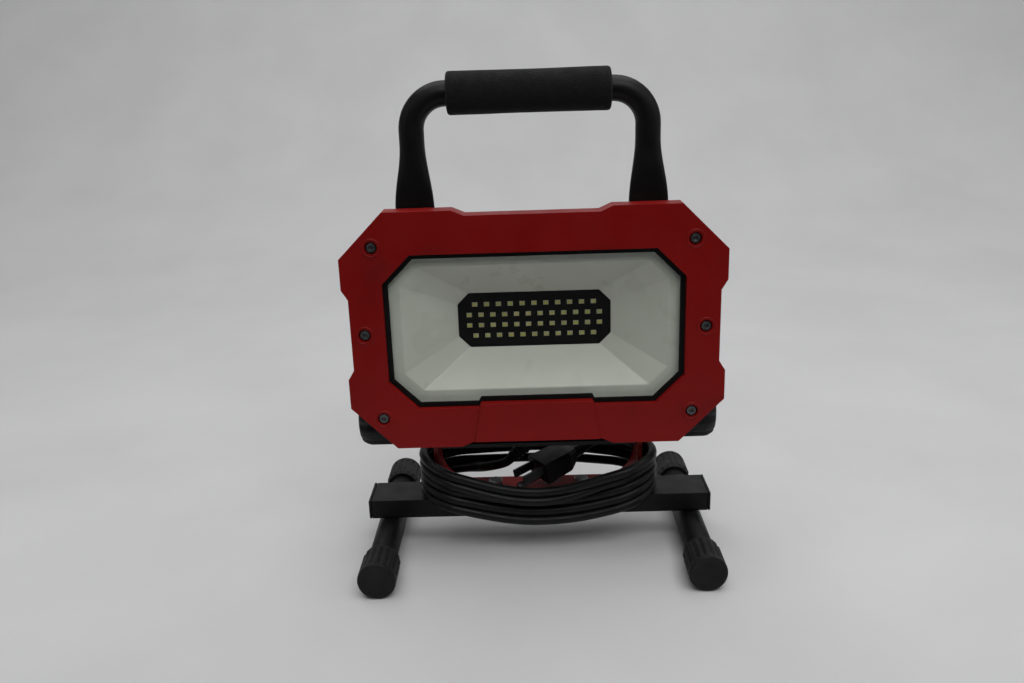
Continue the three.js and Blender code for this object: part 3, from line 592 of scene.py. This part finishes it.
def coil_point(run):
    """A point of the coil, in millimetres, from the distance run along its turns."""
    turn = math.floor((run + ARC_RUN / 2) / TURN_RUN)
    u = run - turn * TURN_RUN
    straight = 2 * COIL_STRAIGHT
    if u < 0:
        x, a = -COIL_STRAIGHT, -math.pi / 2 + u / COIL_ARC_R
    elif u < straight:
        x, a = -COIL_STRAIGHT + u, -math.pi / 2
    elif u < straight + ARC_RUN:
        x, a = COIL_STRAIGHT, -math.pi / 2 + (u - straight) / COIL_ARC_R
    elif u < 2 * straight + ARC_RUN:
        x, a = COIL_STRAIGHT - (u - straight - ARC_RUN), math.pi / 2
    else:
        x, a = -COIL_STRAIGHT, math.pi / 2 + (u - 2 * straight - ARC_RUN) / COIL_ARC_R
    if u < straight + ARC_RUN / 2:
        k = max(0, min(turn, LAST_TURN))
        along = u - COIL_STRAIGHT
        low, out = FRONT_Z[k], FRONT_OUT[k]
        end = LEFT_END_Z[k] if along < 0 else RIGHT_END_Z[k]
        share = fade(along) if along < 0 else right_rise(k, along)
    else:
        k = max(0, min(turn, len(REAR_Z) - 1))
        along = 3 * COIL_STRAIGHT + ARC_RUN - u
        end = RIGHT_END_Z[k] if along > 0 else LEFT_END_Z[max(0, min(turn + 1, LAST_TURN))]
        low, out = (REAR_Z[k], REAR_OUT[k]) if turn >= 0 else (end, 0)
        share = fade(along)
    reach = COIL_ARC_R + out * (1 - share**1.5) + WOBBLE * math.sin(run / WOBBLE_RUN)
    return Vector((x + reach * math.cos(a), reach * math.sin(a), mixed(low, end, share)))


def last_arc():
    """The last turn's right half, which goes round a little inside the other turns and ends at the plug."""
    end = PLUG_AT + Vector((0.2, 0.1, 0))
    middle = end - COIL_ARC_R * Vector((math.cos(PLUG_HEADING), math.sin(PLUG_HEADING), 0))
    front = middle.y - COIL_ARC_R
    start = -COIL_ARC_R - FRONT_OUT[LAST_TURN]
    low = FRONT_Z[LAST_TURN]
    top = RIGHT_END_Z[LAST_TURN]
    points = []
    for i in range(1, STRAIGHT_STEPS + 1):
        x = middle.x * i / STRAIGHT_STEPS
        height = mixed(low, top, right_rise(LAST_TURN, x))
        points.append(Vector((x, mixed(start, front, ease(i / STRAIGHT_STEPS)), height)))
    whole = COIL_ARC_R * (PLUG_HEADING + math.pi / 2)
    drop_run = 2 * (top - end.z) / PLUG_SLOPE
    for i in range(1, ARC_STEPS + 1):
        run = whole * i / ARC_STEPS
        a = run / COIL_ARC_R - math.pi / 2
        rise = right_rise(LAST_TURN, min(HALF_RUN, middle.x + run))
        height = mixed(low, top, rise)
        height -= PLUG_SLOPE * max(0, run - whole + drop_run) ** 2 / (2 * drop_run)
        x = middle.x + COIL_ARC_R * math.cos(a)
        y = middle.y + COIL_ARC_R * math.sin(a)
        points.append(Vector((x, y, height)))
    return points


LEAD_POINTS = [
    RELIEF_TIP,
    Vector((-22.2, 0.7, 57.2)),
    Vector((-26.0, 2.6, 54.8)),
    Vector((-33.0, 8.0, 50.8)),
    Vector((-40.0, 14.0, 47.2)),
    Vector((-44.5, 18.4, 45.0)),
    Vector((-51.7, 22.6, 43.2)),
    Vector((-59.9, 24.0, 41.9)),
    Vector((-68.1, 22.6, 41.1)),
    coil_point(COIL_FROM),
]
COIL_RUN = LAST_TURN * TURN_RUN + COIL_STRAIGHT - COIL_FROM
winding = [coil_point(COIL_FROM + COIL_RUN * i / WINDING_STEPS) for i in range(WINDING_STEPS + 1)]
lead_path = smooth_path([point * MM for point in LEAD_POINTS], 0.0018)
coil_path = smooth_path([point * MM for point in winding + last_arc()], 0.004)


def cord_curve(name, path, radius):
    data = bpy.data.curves.new(name, "CURVE")
    data.dimensions = "3D"
    data.bevel_depth = radius
    data.bevel_resolution = 5
    data.use_fill_caps = True
    spline = data.splines.new("POLY")
    spline.points.add(len(path) - 1)
    for point, place in zip(spline.points, path):
        point.co = (*place, 1)
    spline.use_smooth = True
    obj = bpy.data.objects.new(name, data)
    bpy.context.collection.objects.link(obj)
    return obj


coil = cord_curve("mains_cord_coil", coil_path, CORD_R * MM)
finish_piece(coil, "stand", CORD_JACKET, "cord_jacket", "cord_coil", "cord_tail")
lead = tube("mains_cord_lead", lead_path, CORD_R * MM)
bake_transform(lead)
lead.data.materials.clear()
lead.data.materials.append(CORD_JACKET)
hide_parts("cord_lead")


# ---- Front frame, glass and lamp ----
SCREW_SPOTS = (("top", 101, 56.7), ("middle", 109.1, 0), ("bottom", 101, -57.5))
SCREW_WELL_R = 6.2
BEZEL_FRONT = -45
WINDOW_HALF_W = 97.5
WINDOW_HALF_H = 53
PLATE_HALF_W = 42.5
PLATE_TOP = -47


def bezel_rule(middle, _):
    """Wide rounding on the outside of the front face, less round the window, little in the screw wells."""
    x = abs(middle.x) / MM
    y = middle.y / MM
    z = (middle.z - FACE_MIDDLE) / MM
    front = y < BEZEL_FRONT + 1.5
    in_window = x < WINDOW_HALF_W and abs(z) < WINDOW_HALF_H
    on_plate = x < PLATE_HALF_W and z < PLATE_TOP and y < BEZEL_FRONT + 0.2
    plate_edge = y < BEZEL_FRONT - 0.2 or on_plate
    for _, screw_x, screw_z in SCREW_SPOTS:
        if math.hypot(x - screw_x, z - screw_z) < SCREW_WELL_R:
            return 0.22
    if plate_edge:
        return 0.35
    if in_window:
        return 0.45
    return 1.0 if front else 0.25


bezel = refined("bezel", 1.5 * MM, bezel_rule, segments=4)
finish_piece(bezel, "head", RED_PLASTIC, "red_plastic", "bezel")

rim_profile = [(5.05, 0.6), (5.05, -0.1), (5.2, -0.32), (5.5, -0.4)]
rim_profile += [(5.85, -0.32), (6.1, 0.0), (6.1, 0.6), (5.05, 0.6)]
for side, sign in SIDES:
    for level, x, dz in SCREW_SPOTS:
        at = (sign * x * MM, BEZEL_FRONT * MM, FACE_MIDDLE + dz * MM)
        rim = lathe(f"screw_rim_{side}_{level}", in_metres(rim_profile), (0, 1, 0), at, 40)
        finish_piece(rim, "head", RED_PLASTIC, "red_plastic")
        screw = refined(f"bezel_screw_{side}_{level}", 0.35 * MM)
        finish_piece(screw, "head", DARK_STEEL, "steel", f"bezel_screw_{side}_{level}")

gasket = refined("lens_gasket", 0.4 * MM)
finish_piece(gasket, "head", GASKET_RUBBER, "rubber", "lens_gasket")
lens = refined("lens", 0.3 * MM, segments=2)
finish_piece(lens, "head", LENS_GLASS, "clear_lens", "lens")
reflector = refined("reflector", 1.1 * MM, least=math.radians(8), segments=4)
finish_piece(reflector, "head", REFLECTOR_WHITE, "white_reflector", "reflector")

BOARD_FRONT = -14.6
BOARD_THICK = 1.6
BOARD_HALF_W = 58
BOARD_HALF_H = 26
LED_ROWS = (11, 12, 12, 11)


def boxes(name, places, size, front, back, inset):
    """Low blocks with slanted sides on the board, one for each (x, z) place."""
    points = []
    faces = []
    w, h = size
    for x, z in places:
        first = len(points)
        for y, cut in ((back, 0), (front + inset, 0), (front, inset)):
            for sx, sz in ((-1, -1), (1, -1), (1, 1), (-1, 1)):
                points.append(Vector((x + sx * (w / 2 - cut), y, z + sz * (h / 2 - cut))) * MM)
        for ring_at in (0, 4):
            for i in range(4):
                k = (i + 1) % 4
                faces.append(tuple(first + ring_at + n for n in (i, k, 4 + k, 4 + i)))
        faces.append(tuple(first + 8 + i for i in range(4)))
        faces.append(tuple(first + i for i in (3, 2, 1, 0)))
    return mesh_piece(name, points, faces, smooth=False)


chip_places = [
    ((i - (count - 1) / 2) * LED_PITCH_X, FACE_MIDDLE / MM + (1.5 - row) * LED_PITCH_Z)
    for row, count in enumerate(LED_ROWS)
    for i in range(count)
]
w, h = BOARD_HALF_W, BOARD_HALF_H
board_outline = rounded([(w, 0), (w, h), (-w, h), (-w, -h), (w, -h), (w, 0)], 2)[:-1]
board_points = []
for y in (BOARD_FRONT, BOARD_FRONT + BOARD_THICK):
    board_points += [Vector((x, y, FACE_MIDDLE / MM + z)) * MM for x, z in board_outline]
count = len(board_outline)
board_faces = [tuple(range(count)), tuple(range(count, 2 * count))]
for i in range(count):
    k = (i + 1) % count
    board_faces.append((i, k, count + k, count + i))
board = mesh_piece("led_board_plate", board_points, board_faces, smooth=False)
finish_piece(board, "head", BOARD_BLACK, "board_black", "led_board")
chips = boxes("led_chips", chip_places, (3.5, 2.8), BOARD_FRONT - 0.75, BOARD_FRONT + 0.05, 0.12)
finish_piece(chips, "head", CHIP_BODY, "white_reflector")
glow = boxes("led_phosphor", chip_places, (2.9, 2.25), BOARD_FRONT - 0.86, BOARD_FRONT - 0.6, 0.1)
finish_piece(glow, "head", PHOSPHOR, "tape_yellow")

# ---- Rear housing and what is in it ----
HOUSING_BACK = 15


def housing_rule(middle, _):
    """The fins stand on the housing's back and are too thin for full rounding."""
    return 0.6 if middle.y > (HOUSING_BACK + 0.5) * MM else 1.0


housing = refined("rear_housing", 0.9 * MM, housing_rule, corners=8)
finish_piece(housing, "head", CAST_BLACK, "black_metal", "rear_housing")
for name, width, mat, slot in (
    ("housing_seal", 0.3, GASKET_RUBBER, "rubber"),
    ("heat_spreader", 0.3, ALUMINIUM, "aluminium_plate"),
    ("driver_board", 0.1, BOARD_GREEN, "board_green"),
    ("driver_transformer", 0.6, TAPE, "tape_yellow"),
    ("driver_capacitor", 0.7, BLACK_PLASTIC, "black_plastic"),
    ("switch_body", 0.6, BLACK_PLASTIC, "black_plastic"),
    ("cable_gland", 0.5, BLACK_PLASTIC, "black_plastic"),
    ("supply_wires", 0.2, CORD_JACKET, "cord_jacket"),
):
    finish_piece(refined(name, width * MM, corners=8), "head", mat, slot, name)
rocker = refined("switch_rocker", 0.7 * MM)
finish_piece(rocker, "rocker", RED_PLASTIC, "red_plastic", "switch_rocker")

RELIEF_BORE = 3.32
RELIEF_LONG = 20.0
RELIEF_RIBS = 6
relief_profile = [(RELIEF_BORE, RELIEF_LONG), (4.0, RELIEF_LONG), (4.35, RELIEF_LONG - 0.4)]
for i in range(RELIEF_RIBS):
    low = 18.4 - 3.0 * i
    big = 4.35 + 0.28 * (i + 0.6)
    relief_profile += [(big, low), (big, low - 1.2), (big - 0.75, low - 1.6), (big - 0.75, low - 2.6)]
relief_profile += [(6.0, 0.0), (RELIEF_BORE, 0.0), (RELIEF_BORE, RELIEF_LONG)]
relief_start = (RELIEF_TIP - RELIEF_AXIS * (RELIEF_LONG + 0.6)) * MM
relief = lathe("strain_relief_look", in_metres(relief_profile), RELIEF_AXIS, relief_start, 40)
finish_piece(relief, "head", CAP_RUBBER, "rubber", "strain_relief")

# ---- Handle ----
HANDLE_R = 7.95
HANDLE_HALF_W = 74
HANDLE_Y = -19.8
HANDLE_TOP = 315.4
HANDLE_BEND_R = 22
HANDLE_FOOT = 223
FLARE = (245, 285)
FLAT_HALF_W = 12.4
FLAT_HALF_T = 2.5
FLAT_Y = -25.1


def handle_sections():
    """(centre, in-plane normal, half width, half thickness) from the left foot over to the right one."""
    sections = []
    for i in range(41):
        z = mixed(HANDLE_FOOT, HANDLE_TOP - HANDLE_BEND_R, i / 40)
        t = ease((z - FLARE[0]) / (FLARE[1] - FLARE[0]))
        centre = Vector((-HANDLE_HALF_W, mixed(FLAT_Y, HANDLE_Y, t), z))
        sections.append((centre, (1, 0), mixed(FLAT_HALF_W, HANDLE_R, t), mixed(FLAT_HALF_T, HANDLE_R, t)))
    middle = Vector((-HANDLE_HALF_W + HANDLE_BEND_R, HANDLE_Y, HANDLE_TOP - HANDLE_BEND_R))
    for i in range(1, 17):
        a = math.pi / 2 * i / 16
        normal = (math.cos(a), -math.sin(a))
        centre = middle - Vector((normal[0], 0, normal[1])) * HANDLE_BEND_R
        sections.append((centre, normal, HANDLE_R, HANDLE_R))
    mirror = [(Vector((-c.x, c.y, c.z)), (-n[0], n[1]), w, t) for c, n, w, t in reversed(sections)]
    return sections + mirror


def handle_mesh():
    sides = 48
    points = []
    for centre, (nx, nz), half, half_y in handle_sections():
        flat = min(1, (half - HANDLE_R) / (FLAT_HALF_W - HANDLE_R))
        power = mixed(1, 0.45, flat)
        for i in range(sides):
            a = 2 * math.pi * i / sides
            c = math.copysign(abs(math.cos(a)) ** power, math.cos(a))
            s = math.copysign(abs(math.sin(a)) ** power, math.sin(a))
            points.append((centre + Vector((nx * half * c, half_y * s, nz * half * c))) * MM)
    rows = len(points) // sides
    faces = [tuple(range(sides)), tuple(range((rows - 1) * sides, rows * sides))]
    for j in range(rows - 1):
        for i in range(sides):
            k = (i + 1) % sides
            faces.append((j * sides + i, j * sides + k, (j + 1) * sides + k, (j + 1) * sides + i))
    return mesh_piece("handle_tube_look", points, faces)


finish_piece(handle_mesh(), "head", BLACK_POWDER, "black_metal", "handle_tube")
GRIP_BORE = 8.3
GRIP_R = 13.45
GRIP_HALF = 50.8
grip_corners = [(GRIP_BORE, -GRIP_HALF), (GRIP_R, -GRIP_HALF), (GRIP_R, GRIP_HALF), (GRIP_BORE, GRIP_HALF)]
grip_fine = cut_fine(rounded(grip_corners, [0, 2.6, 2.6, 0], 8), 2)
grip_fine += in_metres([(GRIP_BORE, GRIP_HALF), (GRIP_BORE, -GRIP_HALF)])


def grip_wave(angle, height, r):
    """Soft foam isn't quite round, and it is pressed a little where a hand holds it."""
    if r < GRIP_BORE * MM + 0.0007:
        return r
    spot = Vector((math.cos(angle) * 1.4, math.sin(angle) * 1.4, height * 42))
    return r - 0.00028 * (0.5 + 0.5 * noise.noise(spot)) - 0.00025 * math.cos(height * 31) ** 2


grip = lathe("foam_grip", grip_fine, (1, 0, 0), (0, HANDLE_Y * MM, HANDLE_TOP * MM), 72, grip_wave)
finish_piece(grip, "head", FOAM, "foam", "handle_grip")
for side, _ in SIDES:
    bolt = refined(f"handle_bolt_{side}", 0.5 * MM)
    finish_piece(bolt, "head", STEEL, "steel", f"handle_bolt_{side}")

# ---- Tilt knobs and pivots ----
KNOB_LOBES = 8
KNOB_R = 20
KNOB_NECK_R = 11
KNOB_BACK = 75.2
KNOB_HOLE_R = 4.3
KNOB_DISH = 123.2
KNOB_INSIDE = 114
SCALLOP_FROM_R = 0.0135


def knob_wave(angle, height, r):
    """Finger scallops on the rim, none on the neck or the middle of the face."""
    if r < SCALLOP_FROM_R or height < 0.0985:
        return r
    depth = 0.0021 * min(1, (r - SCALLOP_FROM_R) / 0.004)
    dip = max(0, math.cos(KNOB_LOBES * angle)) ** 1.6
    return r - depth * dip


knob_corners = [(KNOB_HOLE_R, KNOB_BACK), (KNOB_NECK_R, KNOB_BACK), (KNOB_NECK_R, 97), (KNOB_R, 101)]
knob_corners += [(KNOB_R, 118.4), (17.4, KNOB_DISH), (12.6, 124.3), (11.4, KNOB_DISH), (0.02, KNOB_DISH)]
knob_fine = cut_fine(rounded(knob_corners, [0, 0.8, 2.5, 2.2, 2.4, 2.2, 0.9, 0.8, 0], 6), 3)
knob_fine += in_metres([(0.02, KNOB_INSIDE), (KNOB_HOLE_R, KNOB_INSIDE), (KNOB_HOLE_R, KNOB_BACK)])
for side, sign in SIDES:
    knob = lathe(f"tilt_knob_{side}_look", knob_fine, (sign, 0, 0), (0, 0, PIVOT.z), 96, knob_wave)
    finish_piece(knob, f"knob_{side}", BLACK_PLASTIC, "black_plastic", f"tilt_knob_{side}")
    insert = refined(f"knob_insert_{side}", 0.3 * MM)
    finish_piece(insert, f"knob_{side}", BRASS, "brass", f"knob_insert_{side}")
    for name in ("pivot_bolt", "knob_washer"):
        finish_piece(refined(f"{name}_{side}", 0.3 * MM), "head", STEEL, "steel", f"{name}_{side}")
    washer = refined(f"friction_washer_{side}", 0.4 * MM)
    finish_piece(washer, "head", CAP_RUBBER, "rubber", f"friction_washer_{side}")

# ---- Yoke and stand ----
finish_piece(refined("yoke", 0.7 * MM), "stand", RED_POWDER, "red_paint", "yoke")


BAR_LOW = 22.4
BAR_HIGH = 36.4


def bar_rule(middle, edge):
    """The tube's long outside corners are well rounded. Its holes and ends only lose their sharpness."""
    along = abs((edge.verts[0].co - edge.verts[1].co).normalized().x) > 0.99
    z = middle.z / MM
    outside = abs(middle.y) > 0.015 and (z < BAR_LOW + 0.2 or z > BAR_HIGH - 0.2)
    return 1.0 if along and outside else 0.15


crossbar = refined("crossbar", 1.6 * MM, bar_rule, segments=5)
finish_piece(crossbar, "stand", BLACK_POWDER, "black_metal", "crossbar")

CAP_R = 12.7
CAP_RIBS = 16
CAP_COLLAR = 0.0252
CAP_FACE_R = 0.0108
FOOT_X = 107.6
FOOT_HALF_L = 84
TUBE_HALF_L = 80
TUBE_R = 9.5
TUBE_BORE = 8.02


def cap_wave(angle, height, r):
    """Ribs that fade out at the closed end's rim and stop short of the collar."""
    if height > CAP_COLLAR:
        return min(r, 0.0118)
    if r < CAP_FACE_R:
        return r
    share = math.cos(CAP_RIBS * (angle + math.pi / 2))
    groove = 0.5 - 0.5 * math.tanh(4 * (share + 0.1))
    depth = 0.00095 * min(1, max(0, (height - 0.0022) / 0.0035))
    return r - depth * groove


cap_corners = [(0.02, 0.35), (9.2, 0.35), (10.0, 0.0), (12.68, 0.0)]
cap_corners += [(12.68, 28.0), (9.9, 28.0), (9.9, 4.0), (0.02, 4.0)]
cap_fine = cut_fine(rounded(cap_corners, [0, 0.5, 0.4, 1.5, 0.8, 0.5, 0.3, 0], 6), 1.2)
cap_fine += in_metres([(0.02, 4.0), (0.02, 0.35)])
tube_profile = [(TUBE_BORE, -TUBE_HALF_L), (9.1, -TUBE_HALF_L), (TUBE_R, 0.4 - TUBE_HALF_L)]
tube_profile += [(r, -h) for r, h in reversed(tube_profile)] + [(TUBE_BORE, -TUBE_HALF_L)]

for side, sign in SIDES:
    x = sign * FOOT_X * MM
    for name, width, mat, slot in (
        ("yoke_bolt", 0.6, STEEL, "steel"),
        ("yoke_nut", 0.5, STEEL, "steel"),
        ("end_plug", 0.9, BLACK_PLASTIC, "black_plastic"),
        ("foot_screw", 0.6, STEEL, "steel"),
    ):
        finish_piece(refined(f"{name}_{side}", width * MM), "stand", mat, slot, f"{name}_{side}")
    middle = (x, 0, CAP_R * MM)
    foot = lathe(f"foot_tube_{side}_look", in_metres(tube_profile), (0, 1, 0), middle)
    finish_piece(foot, "stand", BLACK_POWDER, "black_metal", f"foot_tube_{side}")
    for end, turned in (("front", 1), ("rear", -1)):
        at = (x, -turned * FOOT_HALF_L * MM, CAP_R * MM)
        cap = lathe(f"foot_cap_{end}_{side}_look", cap_fine, (0, turned, 0), at, 128, cap_wave)
        finish_piece(cap, "stand", CAP_RUBBER, "rubber", f"foot_cap_{end}_{side}")

# ---- Plug ----
plug = refined("plug_body", 2.4 * MM, segments=5)
finish_piece(plug, "stand", BLACK_PLASTIC, "black_plastic", "plug_body")
# The blades' dark steel colour is painted shade: nickel-plated blades drawn dark, the way they look when
# backlit and reflecting dark surroundings.
for name in ("plug_blade_left", "plug_blade_right", "plug_earth_pin"):
    finish_piece(refined(name, 0.35 * MM), "stand", DARK_STEEL, "steel", name)


# ---- Floor, backdrop and light ----
def backdrop():
    """One sheet: floor, a wide curve, and the wall behind."""
    flat, bend, steps = 0.75, 0.9, 16
    profile = [(-0.34, -0.02), (-0.335, 0), (0, 0), (flat, 0)]
    for i in range(1, steps + 1):
        a = math.pi / 2 * i / steps
        profile.append((flat + bend * math.sin(a), bend - bend * math.cos(a)))
    profile.append((flat + bend, 3.2))
    points = [Vector((x, y, z - 0.0004)) for y, z in profile for x in (-2.6, 2.6)]
    faces = [(2 * i, 2 * i + 1, 2 * i + 3, 2 * i + 2) for i in range(len(profile) - 1)]
    sheet = mesh_piece("backdrop", points, faces)
    mat = material("backdrop_grey", (0.62, 0.62, 0.625), 0.85, Specular_IOR_Level=0.15)
    vary_color(mat, [(0.35, (0.60, 0.60, 0.605)), (0.65, (0.635, 0.635, 0.64))], 6, 6)
    vary_roughness(mat, 0.8, 0.95, 20)
    bumps(mat, (70, 0.0002, 4))
    sheet.data.materials.append(mat)


def area_light(name, place, target, size, watts):
    data = bpy.data.lights.new(name, "AREA")
    data.shape = "RECTANGLE"
    data.size, data.size_y = size
    data.energy = watts
    lamp = bpy.data.objects.new(name, data)
    bpy.context.collection.objects.link(lamp)
    lamp.location = place
    aim = Vector(target) - Vector(place)
    lamp.rotation_euler = aim.to_track_quat("-Z", "Y").to_euler()


backdrop()
area_light("top_light", (0, 0.35, 2.1), (0, 0.1, 0), (2.6, 2.0), 31)
area_light("front_light", (0.3, -1.25, 1.75), (0, 0, 0.15), (1.6, 1.0), 17)
area_light("left_light", (-1.9, -0.6, 1.1), (0, 0, 0.1), (1.4, 1.4), 2.5)
area_light("right_light", (1.9, -0.4, 1.1), (0, 0, 0.1), (1.4, 1.4), 4.5)
world = bpy.data.worlds.new("world")
world.use_nodes = True
world.node_tree.nodes["Background"].inputs["Color"].default_value = (0.9, 0.92, 0.95, 1)
world.node_tree.nodes["Background"].inputs["Strength"].default_value = 0.05
bpy.context.scene.world = world
bpy.context.scene.view_settings.view_transform = "Standard"
